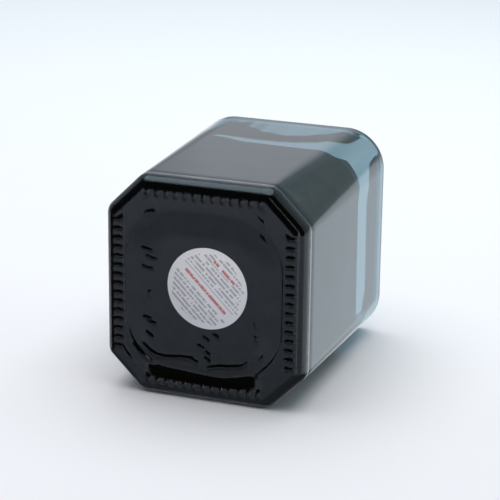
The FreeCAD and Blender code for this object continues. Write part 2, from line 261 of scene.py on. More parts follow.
# The label's print, in mm from its middle, along its rows and across them
ROWS_TURN = 45.0            # angle of the rows to X
GREY_ROWS = (1.6, 1.5, 1.0)             # pitch, scale of the letters, seed
HEADING_ROWS = (2.2, 1.0, 5.0)
ROW_INK = (0.24, 0.76, 0.10)            # start and end of the ink within a row, and their softness
ROW_SHIFT = 7.3             # sets each row's noise apart from the next one's
STROKE_SHIFT = 2.0          # and the strokes' noise from the letters'
STROKE_SCALE = 0.9          # scales of strokes and words, as shares of the letters'
WORD_SCALE = 0.16
INK_ABOVE = (0.40, 0.32, 0.30)          # noise above which letters, strokes and words are inked
PRINT_REACH = 15.4
RAGGED = 3.0                # the rows end up to this much earlier
RAGGED_SCALE = 0.45
HEADINGS = (
    # start and end across the rows, start and end along them
    (0.0, 2.2, -11.0, 11.5),
    (-11.0, -8.8, -6.0, 5.5),
)
HEADING_SOFT = 0.05
NO_ROWS = (-2.2, 2.9, 0.05)             # start and end of the bare strip across, and their softness
RULE = (-1.25, -0.95, -13.5, 13.5)
RULE_SOFT = 0.08
PRINT_END_SOFT = 0.1
GREY_INK = (0.20, 0.19, 0.22)
GREY_STRENGTH = 0.6
RED_INK = (0.62, 0.10, 0.09)
RED_STRENGTH = 0.85

# The stage and its light
FLOOR_REACH = 6.0
FLOOR_GAP = 0.1 * MM
# painted light on the floor: darker near the camera as painted shade, paler far off as painted light
FLOOR_NEAR_PAINTED_SHADE = (0.80, 0.785, 0.806)
FLOOR_FAR_PAINTED_LIGHT = (0.92, 0.945, 0.97)
FLOOR_SHADE_FADE = (-0.15, 0.8)       # Z of a point, from the near colour to the far one
BACKDROP_COLOUR = (0.84, 0.91, 0.96)
CEILING_COLOUR = (0.95, 1.00, 1.04)
CEILING_MIRRORED = (2.1, 2.8, 3.2)      # as reflections show it
HORIZON = (-0.06, 0.06)         # Y of a direction
# stops of (share of the axis from -1 to 1, colour)
BEYOND_UPPER = (
    (0.300, (0.50, 0.55, 0.62)),
    (0.325, (0.84, 0.91, 0.98)),
    (0.410, (0.84, 0.91, 0.98)),
    (0.490, (0.45, 0.57, 0.60)),
)
BEYOND_LOWER = (
    (0.36, (0.85, 0.87, 0.89)),
    (0.45, (0.98, 1.08, 1.12)),
    (0.62, (1.18, 1.34, 1.45)),
)
UNDER_EDGE = (0.38, 0.52)       # Y of a direction beyond the jar: the floor in the jar's shade
UNDER_COLOUR = (0.14, 0.15, 0.17)
CAMERA_SIDE = (
    (0.10, (0.95, 1.00, 1.04)),
    (0.14, (0.035, 0.033, 0.025)),
    (0.575, (0.035, 0.033, 0.025)),
    (0.615, (0.64, 0.73, 0.86)),
    (0.64, (0.68, 0.78, 0.92)),
    (0.69, (0.44, 0.51, 0.62)),
    (0.76, (0.48, 0.53, 0.60)),
    (0.86, (0.22, 0.25, 0.30)),
)
WINDOW_EDGE = (0.32, 0.46)      # X of a direction, on the camera's side
WINDOW_DEPTH = (-0.72, -0.82)   # Z of a direction
WINDOW_COLOUR = (1.30, 1.40, 1.50)
CORNER_EDGE = (-0.62, -0.80)    # X of a direction, on the camera's side: a dark corner of the room
CORNER_COLOUR = (0.05, 0.05, 0.045)
ROOM_EDGE = (-0.05, -0.25)      # Z of a direction, from beyond the jar towards the camera
CEILING_EDGE = (-0.80, -0.90)   # Y of a direction, up to the ceiling
LAMPS = (
    # name, place, size, energy, whether it shows through the glass
    ("overhead", (-0.04, -0.85, 0.15), 1.1, 7.0, True),
    # under the lying jar's floor plane, so it lights the label and leaves the floor as it is
    ("front", (0.0, 0.25, -0.9), 0.3, 1.5, False),
)
JAR_MIDDLE = (cad_low + cad_high) / 2
CAMERA_AZIMUTH = 20.0
CAMERA_ELEVATION = 17.91
CAMERA_ROLL = 0.7
CAMERA_DISTANCE = 0.7048
CAMERA_LENS = 138.7
CAMERA_AIM = Vector((18.66, -19.64, 0.0)) * MM


def smooth_step(low, high, value):
    """0 below low, 1 above high, and an S-curve between them."""
    share = min(max((value - low) / (high - low), 0.0), 1.0)
    return share * share * (3.0 - 2.0 * share)


def ramp(count, start=0.0, end=1.0):
    """count + 1 evenly spaced numbers from start to end."""
    return [start + (end - start) * i / count for i in range(count + 1)]


# ---- meshes -------------------------------------------------------------------------------------

def new_object(name, data):
    """An object of the scene from its mesh, lamp or camera."""
    obj = bpy.data.objects.new(name, data)
    bpy.context.scene.collection.objects.link(obj)
    return obj


def side_faces(rings, around, first=0):
    """The quads between rings of equally many points; the rings' first vertex has the number first."""
    faces = []
    for k in range(rings - 1):
        low, high = first + k * around, first + (k + 1) * around
        for i in range(around):
            j = (i + 1) % around
            faces.append((low + i, low + j, high + j, high + i))
    return faces


def ring_mesh(name, rings, sharp_angle=30.0):
    """A closed surface through rings of equally many points; each end is closed by a fan."""
    count = len(rings[0])
    verts = [point for ring in rings for point in ring]
    faces = side_faces(len(rings), count)
    for ring, first in ((rings[0], 0), (rings[-1], (len(rings) - 1) * count)):
        middle = len(verts)
        verts.append(sum((Vector(p) for p in ring), Vector()) / count)
        faces += [(first + i, middle, first + (i + 1) % count) for i in range(count)]
    mesh = bpy.data.meshes.new(name)
    mesh.from_pydata(verts, [], faces)
    bm = bmesh.new()
    bm.from_mesh(mesh)
    bmesh.ops.recalc_face_normals(bm, faces=bm.faces)
    for face in bm.faces:
        face.smooth = True
    bm.to_mesh(mesh)
    bm.free()
    mesh.set_sharp_from_angle(angle=math.radians(sharp_angle))
    return new_object(name, mesh)


def between(start, end, steps):
    """The points strictly between two points of a straight stretch."""
    return [tuple(Vector(start).lerp(Vector(end), share)) for share in ramp(steps)[1:-1]]


def section(inset, leg, turn, steps):
    """The jar's section moved inwards by inset: corners cut flat with the given leg, the flats' edges
    rounded to the radius turn. The points run anticlockwise, equally many for the same steps."""
    along_x, along_y, round_corner = steps
    half_x = HALF_X - inset
    half_y = HALF_Y - inset
    turn = max(min(turn, ROUND_LIMIT * leg / FADE), LEAST_TURN)
    start = leg + turn * math.tan(math.pi / 8)
    low_x, low_y = half_x - turn, half_y - start
    high_x, high_y = half_x - start, half_y - turn
    angles = ramp(round_corner, 0.0, math.pi / 4)
    first = [(low_x + turn * math.cos(a), low_y + turn * math.sin(a)) for a in angles]
    angles = ramp(round_corner, math.pi / 4, math.pi / 2)
    last = [(high_x + turn * math.cos(a), high_y + turn * math.sin(a)) for a in angles]
    corner = first + between(first[-1], last[0], round_corner) + last
    beside = [(-x, y) for x, y in reversed(corner)]
    half = corner + between(corner[-1], beside[0], along_x) + beside
    other = [(-x, -y) for x, y in half]
    return half + between(half[-1], other[0], along_y) + other + between(other[-1], half[0], along_y)


def outer_section(z, inset=0.0):
    """The outside of the jar at height z: the corner facets narrow upwards and end in round corners."""
    share = min((max(z, BASE) - BASE) / (FACET_RISE - BASE), 1.0)
    leg = FACET_LEG + (FADED_LEG - FACET_LEG) * share
    turn = FACET_TURN + (CORNER - FACET_TURN) * share
    return section(inset, leg - inset * FADE, turn - inset, FINE)


def round_section(inset, radius, steps):
    """A section with round corners."""
    return section(inset, radius * FADE, radius, steps)


def facing(x, y):
    """Outward direction of the jar's section with round corners at a point on it."""
    in_x = HALF_X - CORNER
    in_y = HALF_Y - CORNER
    out = Vector((max(abs(x) - in_x, 0.0), max(abs(y) - in_y, 0.0)))
    out.normalize()
    return Vector((math.copysign(out.x, x), math.copysign(out.y, y)))


# ---- the glass ------------------------------------------------------------------------------------

def rib_height(x, y):
    """Height of the moulded ribs under the base at a point, from 0 to 1: low oval bars in four rows."""
    place = (x, y)
    half = (HALF_X, HALF_Y)
    tallest = 0.0
    for axis, pitch, count in RIB_ROWS:
        row_middle = half[1 - axis] - RIB_INSET - RIB_LENGTH / 2
        across = (abs(place[1 - axis]) - row_middle) / (RIB_LENGTH / 2)
        number = min(max(round(place[axis] / pitch + (count - 1) / 2), 0), count - 1)
        along = (place[axis] - (number - (count - 1) / 2) * pitch) / RIB_SPREAD
        tallest = max(tallest, min(1.0, RIB_FULLNESS * (1.0 - across * across - along * along)))
    return tallest


def mark_height(x, y):
    """Height of the generic mould marks in the recess, from 0 to 1: plain bars and dots."""
    tallest = 0.0
    for mark_x, mark_y, length, turn in MOULD_MARKS:
        dx, dy = x - mark_x * MM, y - mark_y * MM
        cosine, sine = math.cos(math.radians(turn)), math.sin(math.radians(turn))
        along = abs(dx * cosine + dy * sine) - length * MM / 2
        across = dx * sine - dy * cosine
        distance = math.hypot(max(along, 0.0), across)
        tallest = max(tallest, 1.0 - smooth_step(*MARK_EDGE, distance))
    return tallest


def slope_share(x):
    """Where along the base's +Y edge the recess slopes down instead of ending in a step: 0 to 1."""
    return 1.0 - smooth_step(SLOPE_HALF, SLOPE_HALF + SLOPE_FADE, abs(x))


def slope_start(x):
    """Y at which the slope starts: it bends towards the base's middle at its ends, and wanders."""
    bend = SLOPE_BEND * min(abs(x) / SLOPE_HALF, 1.0) ** 2
    return RECESS_HALF.y - bend + SLOPE_WANDER * noise.noise(Vector((x * SLOPE_WAVES, SLOPE_SEED, 0.0)))


def recess_depth(x, y):
    """How far a point lies in the recess under the base, from 0 to 1. It is dished, with a fine step at
    its edge that fades away towards -Y, and along +Y it slopes down over several millimetres."""
    out_x = abs(x) - RECESS_HALF.x + RECESS_TURN
    out_y = abs(y) - RECESS_HALF.y + RECESS_TURN
    beyond = math.hypot(max(out_x, 0.0), max(out_y, 0.0)) + min(max(out_x, out_y), 0.0) - RECESS_TURN
    dish = 1.0 - smooth_step(-DISH_WIDTH, 0.0, beyond)
    step = 1.0 - smooth_step(0.0, STEP_WIDTH, beyond)
    edge = dish + (step - dish) * STEP_SHARE * smooth_step(*STEP_FADE, y)
    slope = 1.0 - smooth_step(slope_start(x), SLOPE_END, y)
    return edge + (slope - edge) * slope_share(x) * smooth_step(0.0, SLOPE_BLEND, y)


def hollow_depth(x, y):
    """Depth of a shallow hollow along the sloping edge, in the chilled glass."""
    return HOLLOW * slope_share(x) * math.exp(-(((y - slope_start(x)) / HOLLOW_SPREAD) ** 2))


def base_point(x, y):
    """A point of the base: the flat, its recess, the moulded ribs and the mould marks."""
    recessed = recess_depth(x, y)
    z = BASE + PUSHUP_RISE * recessed - RIB_RISE * rib_height(x, y) + hollow_depth(x, y)
    if math.hypot(x - LABEL_MIDDLE.x, y - LABEL_MIDDLE.y) > LABEL_RADIUS + MM:
        z -= max(MARK_RISE * mark_height(x, y), STREAK_RISE * streak_height(x, y))
    return (x, y, max(z, 0.0))


def streak_height(x, y):
    """Height of the chill wrinkles beside the sloping edge, from 0 to 1."""
    place = Vector((x, y))
    nearest = STREAK_EDGE[1]
    for points in STREAKS:
        for start, end in zip(points, points[1:]):
            first = Vector(start) * MM
            along = Vector(end) * MM - first
            share = min(max((place - first).dot(along) / along.length_squared, 0.0), 1.0)
            nearest = min(nearest, (place - first - along * share).length)
    return 1.0 - smooth_step(*STREAK_EDGE, nearest)


def heel_level(x, y, z):
    """Height of the heel at a point; the ribs run out over its first part."""
    rib = rib_height(x, y)
    return z if rib <= 0.0 else z + (BASE - RIB_RISE - z) * rib


def round_table(table, x, y):
    """A row of the table at a point's direction from the axis: rows are (angle, values...), in order."""
    angle = math.degrees(math.atan2(y, x))
    for (low, *before), (high, *after) in zip(table, table[1:]):
        if angle <= high:
            share = smooth_step(low, high, angle)
            return [start + (end - start) * share for start, end in zip(before, after)]
    return list(table[-1][1:])


def extra_wall(x, y, z):
    """Extra thickness of the blown wall at a point: a wandering band at the mouth, not in the corners."""
    begin, end = round_table(BAND_EDGES, x, y)
    rise = min(max(z - begin * MM, 0.0), (end - begin) * MM)
    out = facing(x, y)
    flat = 1.0 - smooth_step(*BAND_FADE, min(abs(out.x), abs(out.y)))
    return BAND_SLOPE * rise * flat


def cavity_wall(z, grow, steps):
    """The cavity's rippled section at height z, grown outwards by grow; its corners sharpen upwards."""
    radius = CAVITY_ROUND - CORNER_DRAFT * max(z - CORNER_DRAFT_START, 0.0) + grow
    ring = []
    for x, y in round_section(WALL - grow, radius, steps):
        out = facing(x, y)
        extra = extra_wall(x, y, z) + WALL_RIPPLE * noise.noise(Vector((x, y, z)) * RIPPLE_WAVES)
        ring.append((x - out.x * extra, y - out.y * extra, z))
    return ring


def cavity_rings(grow, steps, top, levels):
    """Rings of the cavity, from the middle of its floor up to a height, grown outwards by grow."""
    floor_outline = round_section(WALL + FLOOR_ROUND - grow, CAVITY_ROUND - FLOOR_ROUND + grow, steps)
    rings = []
    for share in ramp(CAVITY_FLOOR_STEPS, INMOST, 1.0)[:-1]:
        ring = []
        for x, y in floor_outline:
            ring.append((x * share, y * share, floor_height(x * share, y * share) - grow))
        rings.append(ring)
    for angle in ramp(CAVITY_ROUND_STEPS, 0.0, math.pi / 2):
        inset = FLOOR_ROUND * (1.0 - math.sin(angle))
        ring = []
        for x, y in round_section(WALL - grow + inset, CAVITY_ROUND + grow - inset, steps):
            low = floor_height(x, y) - grow
            level = CAVITY_FLOOR + FLOOR_ROUND
            ring.append((x, y, low + (level - low) * (1.0 - math.cos(angle))))
        rings.append(ring)
    for z in ramp(levels, CAVITY_FLOOR + FLOOR_ROUND, top)[1:]:
        rings.append(cavity_wall(z, grow, steps))
    return rings


def floor_height(x, y):
    """Height of the cavity's floor at a point: it isn't quite even."""
    return CAVITY_FLOOR + UNEVEN_FLOOR * noise.noise(Vector((x, y, UNEVEN_SEED)) * UNEVEN_WAVES)


def make_jar():
    """The jar: base, heel, facets that fade out up the corners, mould seams, rim and cavity."""
    heel_end = outer_section(BASE, HEEL_ROUND)
    shares = [share for steps, start, end in BASE_RINGS for share in ramp(steps, start, end)]
    rings = [[base_point(x * share, y * share) for x, y in heel_end] for share in shares]
    for angle in ramp(HEEL_STEPS, math.pi / 2, 0.0)[1:]:
        inset = HEEL_ROUND * (1.0 - math.cos(angle))
        z = BASE + HEEL_ROUND * (1.0 - math.sin(angle))
        rings.append([(x, y, heel_level(x, y, z)) for x, y in outer_section(z, inset)])
    side_high = JAR_TOP - RIM_ROUND
    for z, inset in SEAM_STEPS:
        rings.append([(x, y, z) for x, y in outer_section(z, inset)])
    for z in ramp(SIDE_STEPS, SEAM_STEPS[-1][0], FACET_RISE)[1:] + [side_high]:
        rings.append([(x, y, z) for x, y in outer_section(z)])
    for angle in ramp(RIM_STEPS, 0.0, math.pi / 2)[1:]:
        inset = RIM_ROUND * (1.0 - math.cos(angle))
        z = side_high + RIM_ROUND * math.sin(angle)
        rings.append([(x, y, z) for x, y in outer_section(z, inset)])
    inner = cavity_rings(0.0, FINE, side_high, CAVITY_STEPS[0])
    for angle in ramp(RIM_STEPS, math.pi / 2, 0.0)[:-1]:
        inset = RIM_ROUND * (1.0 - math.cos(angle))
        z = side_high + RIM_ROUND * math.sin(angle)
        ring = []
        for x, y, _ in inner[-1]:
            out = facing(x, y)
            ring.append((x + out.x * inset, y + out.y * inset, z))
        rings.append(ring)
    return ring_mesh("jar_glass", rings + inner[::-1])


# ---- the wax --------------------------------------------------------------------------------------

def make_wax():
    """The wax, poured against the glass: a thin meniscus creeps up the wall, and it dips by the wick."""
    rings = cavity_rings(GRIP, COARSE, WAX_TOP - WAX_CUT, CAVITY_STEPS[1])
    first = rings[-1]
    for share in ramp(MENISCUS_STEPS[0])[1:]:
        ring = []
        for x, y, z in first:
            crest = MENISCUS + round_table(WAX_EDGE, x, y)[0] * MM
            ring.append((x, y, z + share * (WAX_CUT + crest)))
        rings.append(ring)
    rim = rings[-1]
    for step in ramp(MENISCUS_STEPS[1])[1:]:
        reach = MENISCUS_REACH * step
        ring = []
        for x, y, z in rim:
            out = facing(x, y)
            height = WAX_TOP + (z - WAX_TOP) * (1.0 - step) ** 3
            ring.append((x - out.x * reach, y - out.y * reach, height))
        rings.append(ring)
    edge = rings[-1]
    for share in ramp(WAX_TOP_STEPS, 1.0, INMOST)[1:]:
        ring = []
        for x, y, z in edge:
            point = Vector((x * share, y * share, 0.0))
            lump = WAX_LUMP * noise.noise(point * LUMP_WAVES)
            dip = WAX_DIP * math.exp(-((point.length / DIP_SPREAD) ** 2))
            ring.append((point.x, point.y, WAX_TOP + lump * (1.0 - share ** 4) - dip))
        rings.append(ring)
    return ring_mesh("wax_block", rings, sharp_angle=60.0)


# ---- the wick -------------------------------------------------------------------------------------

def yarn_line(index):
    """The middle line of one yarn: every second one winds the other way, over and under the rest."""
    way = 1 if index % 2 == 0 else -1
    start = (index // 2) * math.pi / 2
    height = wick_high.z - wick_low.z
    points = []
    for share in ramp(YARN_STEPS):
        turn = way * 2.0 * math.pi * height * share / YARN_LAY + start
        radius = wick_high.x - YARN - YARN_SWING * (0.5 + 0.5 * way * math.cos(YARN_CROSSINGS * turn))
        z = wick_low.z + height * share
        points.append(Vector((radius * math.cos(turn), radius * math.sin(turn), z)))
    return points


def make_wick():
    """The braid: eight yarns, four each way round, that pass over and under one another."""
    verts = []
    faces = []
    for index in range(YARNS):
        points = yarn_line(index)
        first = len(verts)
        for k, point in enumerate(points):
            ahead = points[min(k + 1, YARN_STEPS)] - points[max(k - 1, 0)]
            ahead.normalize()
            side = ahead.cross(Vector((point.x, point.y, 0.0)).normalized()).normalized()
            up = side.cross(ahead)
            for i in range(YARN_SIDES):
                angle = 2.0 * math.pi * i / YARN_SIDES
                offset = side * math.cos(angle) * YARN * YARN_FLATTEN[0]
                offset += up * math.sin(angle) * YARN * YARN_FLATTEN[1]
                place = point + offset
                place.z = min(max(place.z, wick_low.z), wick_high.z)
                verts.append(place)
        faces += side_faces(YARN_STEPS + 1, YARN_SIDES, first)
        faces.append(tuple(first + i for i in reversed(range(YARN_SIDES))))
        faces.append(tuple(first + YARN_STEPS * YARN_SIDES + i for i in range(YARN_SIDES)))
    mesh = bpy.data.meshes.new("wick_yarns")
    mesh.from_pydata(verts, [], faces)
    mesh.polygons.foreach_set("use_smooth", [True] * len(mesh.polygons))
    return new_object("wick_yarns", mesh)


# ---- the label ------------------------------------------------------------------------------------

def make_label():
    """A paper disc with a softly pressed edge, stuck to the glass inside the recess."""
    low = label_low.z
    profile = [
        (LABEL_INNER * LABEL_RADIUS, LABEL_SEAT + LABEL_BITE),
        (LABEL_RADIUS, LABEL_SEAT + LABEL_BITE),
        (LABEL_RADIUS, low + LABEL_PRESS),
        (LABEL_RADIUS - LABEL_PRESS, low),
        (LABEL_INNER * LABEL_RADIUS, low),
    ]
    angles = ramp(LABEL_STEPS, 0.0, 2.0 * math.pi)[:-1]
    x, y, _ = LABEL_MIDDLE
    rings = [[(x + r * math.cos(a), y + r * math.sin(a), z) for a in angles] for r, z in profile]
    return ring_mesh("label_disc", rings, sharp_angle=50.0)


# ---- materials ------------------------------------------------------------------------------------

def new_material(name):
    """An empty node material and its Principled shader."""
    material = bpy.data.materials.new(name)
    material.use_nodes = True
    return material, material.node_tree, material.node_tree.nodes["Principled BSDF"]


def set_inputs(tree, made, inputs):
    """Sets a node's inputs by name or index: a socket is linked, and a colour gets its alpha."""
    for key, value in inputs.items():
        socket = made.inputs[key]
        if isinstance(value, bpy.types.NodeSocket):
            tree.links.new(value, socket)
        elif socket.type == "RGBA":
            socket.default_value = (*value, 1.0)
        else:
            socket.default_value = value


def node(tree, kind, inputs=(), **settings):
    """A node with its settings and its inputs."""
    made = tree.nodes.new(kind)
    for name, value in settings.items():
        setattr(made, name, value)
    set_inputs(tree, made, dict(inputs))
    return made


def math_node(tree, operation, *values):
    """The result of one Math node."""
    return node(tree, "ShaderNodeMath", dict(enumerate(values)), operation=operation).outputs[0]


def product(tree, value, *others):
    """The values multiplied together."""
    for other in others:
        value = math_node(tree, "MULTIPLY", value, other)
    return value


def noise_at(tree, vector, scale, detail, roughness=0.5):
    """The value of a noise texture."""
    inputs = {"Vector": vector, "Scale": scale, "Detail": detail, "Roughness": roughness}
    return node(tree, "ShaderNodeTexNoise", inputs).outputs["Fac"]


def ramp_node(tree, fac, *stops):
    """A colour ramp of (position, colour) stops."""
    made = node(tree, "ShaderNodeValToRGB", {"Fac": fac})
    elements = made.color_ramp.elements
    while len(elements) < len(stops):
        elements.new(0.5)
    for element, (position, colour) in zip(elements, stops):
        element.position = position
        element.color = (*colour, 1.0)
    return made.outputs["Color"]


def mix_colour(tree, fac, first, second):
    """A mix of two colours, each a socket or a triple."""
    inputs = {"Factor": fac, 6: first, 7: second}
    return node(tree, "ShaderNodeMix", inputs, data_type="RGBA").outputs[2]


def bump(tree, shader, height, distance, strength):
    """A bump on a shader's normal."""
    inputs = {"Height": height, "Distance": distance, "Strength": strength}
    set_inputs(tree, shader, {"Normal": node(tree, "ShaderNodeBump", inputs).outputs["Normal"]})


def step_node(tree, value, start, end, kind="SMOOTHSTEP"):
    """A curve from 0 at start to 1 at end; end may be the lower one."""
    inputs = {"Value": value, "From Min": start, "From Max": end}
    return node(tree, "ShaderNodeMapRange", inputs, interpolation_type=kind).outputs["Result"]


def rescale(tree, value, low, high):
    """A value that runs from 0 to 1, moved to run from low to high."""
    inputs = {"Value": value, "To Min": low, "To Max": high}
    return node(tree, "ShaderNodeMapRange", inputs).outputs["Result"]


def place_of(tree):
    """Where the shaded point lies, in metres."""
    return node(tree, "ShaderNodeTexCoord").outputs["Object"]


def stretched_place(tree, scale):
    """Where the shaded point lies, with a factor for each axis."""
    return node(tree, "ShaderNodeMapping", {"Vector": place_of(tree), "Scale": scale}).outputs["Vector"]


def add_grain(tree, shader, grain, low, high, distance, strength):
    """Colour and bump from one grain; low and high are the colours of its hollows and its crests."""
    set_inputs(tree, shader, {"Base Color": ramp_node(tree, grain, (0.3, low), (0.7, high))})
    bump(tree, shader, grain, distance, strength)


def glass_material():
    """Smoky blue-grey container glass, tinted through its thickness, with faint waves of moulding."""
    material, tree, shader = new_material("smoky_glass")
    clear = {"Base Color": (1.0, 1.0, 1.0), "Transmission Weight": 1.0, "Roughness": 0.0, "IOR": 1.5}
    set_inputs(tree, shader, clear)
    bump(tree, shader, noise_at(tree, place_of(tree), 55.0, 1.0), 0.05 * MM, 0.6)
    tint = {"Color": (0.685, 0.783, 0.820), "Density": 1000.0}
    absorb = node(tree, "ShaderNodeVolumeAbsorption", tint)
    set_inputs(tree, tree.nodes["Material Output"], {"Volume": absorb.outputs["Volume"]})
    return material


def wax_material():
    """Charcoal candle wax: slightly mottled, with a soft sheen and a faint depth."""
    material, tree, shader = new_material("charcoal_wax")
    place = place_of(tree)
    mottle = noise_at(tree, place, 90.0, 5.0, 0.6)
    dark, pale = (0.30, (0.040, 0.038, 0.036)), (0.72, (0.075, 0.069, 0.062))
    wax = {
        "Base Color": ramp_node(tree, mottle, dark, pale),
        "Roughness": rescale(tree, mottle, 0.32, 0.5),
        "Subsurface Weight": 0.15,
        "Subsurface Radius": (1.0, 0.9, 0.8),
        "Subsurface Scale": 1.5 * MM,
        "IOR": 1.44,
    }
    set_inputs(tree, shader, wax)
    bump(tree, shader, noise_at(tree, place, 260.0, 3.0), 0.06 * MM, 0.5)
    return material


def cotton_material():
    """Waxed cotton yarn: off-white, finer fibres along it."""
    material, tree, shader = new_material("waxed_cotton")
    fibres = noise_at(tree, stretched_place(tree, (1.0, 1.0, 0.25)), 9000.0, 3.0, 0.7)
    add_grain(tree, shader, fibres, (0.50, 0.46, 0.38), (0.80, 0.76, 0.67), 0.04 * MM, 0.8)
    set_inputs(tree, shader, {"Roughness": 0.62, "Sheen Weight": 0.2})
    return material


def paper_core_material():
    """Twisted paper cord."""
    material, tree, shader = new_material("paper_cord")
    grain = noise_at(tree, place_of(tree), 5000.0, 3.0, 0.6)
    add_grain(tree, shader, grain, (0.62, 0.55, 0.44), (0.80, 0.74, 0.63), 0.03 * MM, 0.7)
    set_inputs(tree, shader, {"Roughness": 0.8})
    return material


def tab_material():
    """Tinned steel sheet with fine rolling marks."""
    material, tree, shader = new_material("tinned_steel")
    marks = noise_at(tree, stretched_place(tree, (1.0, 0.04, 1.0)), 6000.0, 2.0)
    rough = rescale(tree, marks, 0.22, 0.42)
    set_inputs(tree, shader, {"Base Color": (0.66, 0.67, 0.68), "Metallic": 1.0, "Roughness": rough})
    bump(tree, shader, marks, 0.01 * MM, 0.5)
    return material


def glue_material():
    """Cream glue pad, soft and uneven."""
    material, tree, shader = new_material("cream_glue")
    lumps = noise_at(tree, place_of(tree), 700.0, 3.0)
    add_grain(tree, shader, lumps, (0.70, 0.66, 0.56), (0.82, 0.79, 0.70), 0.08 * MM, 0.6)
    set_inputs(tree, shader, {"Roughness": 0.55})
    return material


def band_mask(tree, value, low, high, soft):
    """1 where value lies between low and high, with soft edges."""
    rise = step_node(tree, value, low - soft, low + soft, "LINEAR")
    fall = step_node(tree, value, high - soft, high + soft, "LINEAR")
    return math_node(tree, "SUBTRACT", rise, fall)


def box_mask(tree, along, across, box, soft):
    """1 in a box of the print: its start and end across the rows, and its start and end along them."""
    low, high, start, end = box
    strip = band_mask(tree, across, low, high, soft)
    return product(tree, strip, band_mask(tree, along, start, end, PRINT_END_SOFT))


def noise_above(tree, vector, scale, detail, limit):
    """1 where a noise is above a limit, and 0 elsewhere."""
    return math_node(tree, "GREATER_THAN", noise_at(tree, vector, scale, detail), limit)


def print_rows(tree, along, across, pitch, letter, seed):
    """Rows of unreadable print: small specks in word-long groups, in lines a pitch apart."""
    row = math_node(tree, "DIVIDE", across, pitch)
    line = band_mask(tree, math_node(tree, "FRACT", row), *ROW_INK)
    shift = product(tree, math_node(tree, "FLOOR", row), ROW_SHIFT)
    by_row = node(tree, "ShaderNodeCombineXYZ", {"X": along, "Y": shift, "Z": seed}).outputs[0]
    inside = {"X": along, "Y": across, "Z": seed + STROKE_SHIFT}
    within_row = node(tree, "ShaderNodeCombineXYZ", inside).outputs[0]
    letter_limit, stroke_limit, word_limit = INK_ABOVE
    letters = noise_above(tree, by_row, letter, 1.0, letter_limit)
    strokes = noise_above(tree, within_row, letter * STROKE_SCALE, 1.0, stroke_limit)
    words = noise_above(tree, by_row, letter * WORD_SCALE, 0.0, word_limit)
    return product(tree, letters, line, strokes, words)


def label_place(tree):
    """The shaded point's place from the label's middle in mm, and how far it lies along and across
    the rows."""
    middle = (LABEL_MIDDLE.x, LABEL_MIDDLE.y, 0.0)
    local = node(tree, "ShaderNodeVectorMath", {0: place_of(tree), 1: middle}, operation="SUBTRACT")
    scaled = {0: local.outputs[0], "Scale": 1.0 / MM}
    place = node(tree, "ShaderNodeVectorMath", scaled, operation="SCALE").outputs[0]
    turn = {"Vector": place, "Angle": -math.radians(ROWS_TURN)}
    turned = node(tree, "ShaderNodeVectorRotate", turn, rotation_type="Z_AXIS").outputs[0]
    axes = node(tree, "ShaderNodeSeparateXYZ", {0: turned})
    return place, axes.outputs["X"], axes.outputs["Y"]


def label_material():
    """Coated white paper with generic print: grey rows and two red headings that spell nothing."""
    material, tree, shader = new_material("printed_paper")
    place, along, across = label_place(tree)
    rows = print_rows(tree, along, across, *GREY_ROWS)
    headings = print_rows(tree, along, across, *HEADING_ROWS)
    # the rows end raggedly within a circle
    squares = math_node(tree, "ADD", product(tree, along, along), product(tree, across, across))
    ragged = product(tree, noise_at(tree, place, RAGGED_SCALE, 0.0), RAGGED)
    reach = math_node(tree, "ADD", math_node(tree, "SQRT", squares), ragged)
    inside = math_node(tree, "LESS_THAN", reach, PRINT_REACH)
    # they leave room for the headings and the rule
    first, second = [box_mask(tree, along, across, box, HEADING_SOFT) for box in HEADINGS]
    in_heading = math_node(tree, "MAXIMUM", first, second)
    taken = math_node(tree, "MAXIMUM", in_heading, band_mask(tree, across, *NO_ROWS))
    grey = product(tree, rows, inside, math_node(tree, "SUBTRACT", 1.0, taken))
    rule = box_mask(tree, along, across, RULE, RULE_SOFT)
    grain = noise_at(tree, place, 3.0, 4.0)
    paper = ramp_node(tree, grain, (0.3, (0.925, 0.890, 0.915)), (0.7, (0.965, 0.930, 0.955)))
    dark = product(tree, math_node(tree, "MAXIMUM", grey, rule), GREY_STRENGTH)
    inked = mix_colour(tree, dark, paper, GREY_INK)
    red = product(tree, headings, in_heading, RED_STRENGTH)
    set_inputs(tree, shader, {"Base Color": mix_colour(tree, red, inked, RED_INK), "Roughness": 0.45})
    bump(tree, shader, grain, 0.01 * MM, 0.4)
    return material


def finish_with(obj, material):
    """Gives a piece its material."""
    obj.data.materials.clear()
    obj.data.materials.append(material)


# ---- the pieces -----------------------------------------------------------------------------------

PIECES = (
    # maker, material, record's slot, CAD node it stands for
    (make_jar, glass_material, "smoky_glass", "glass_jar"),
    (make_wax, wax_material, "dark_wax", "wax_fill"),
    (make_wick, cotton_material, "cotton_braid", "wick_braid"),
    (make_label, label_material, "label_paper", "base_label"),
)
for maker, paint, slot, cad_node in PIECES:
    piece = maker()
    finish_with(piece, paint())
    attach(piece, BODY)
    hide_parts(cad_node)

KEPT_NODES = (
    ("wick_core", paper_core_material),
    ("wick_tab", tab_material),
    ("glue_pad", glue_material),
)
for cad_node, paint in KEPT_NODES:
    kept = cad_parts[cad_node]
    kept.data.materials.clear()
    kept.data.materials.append(paint())


# ---- stage, light and camera ----------------------------------------------------------------------

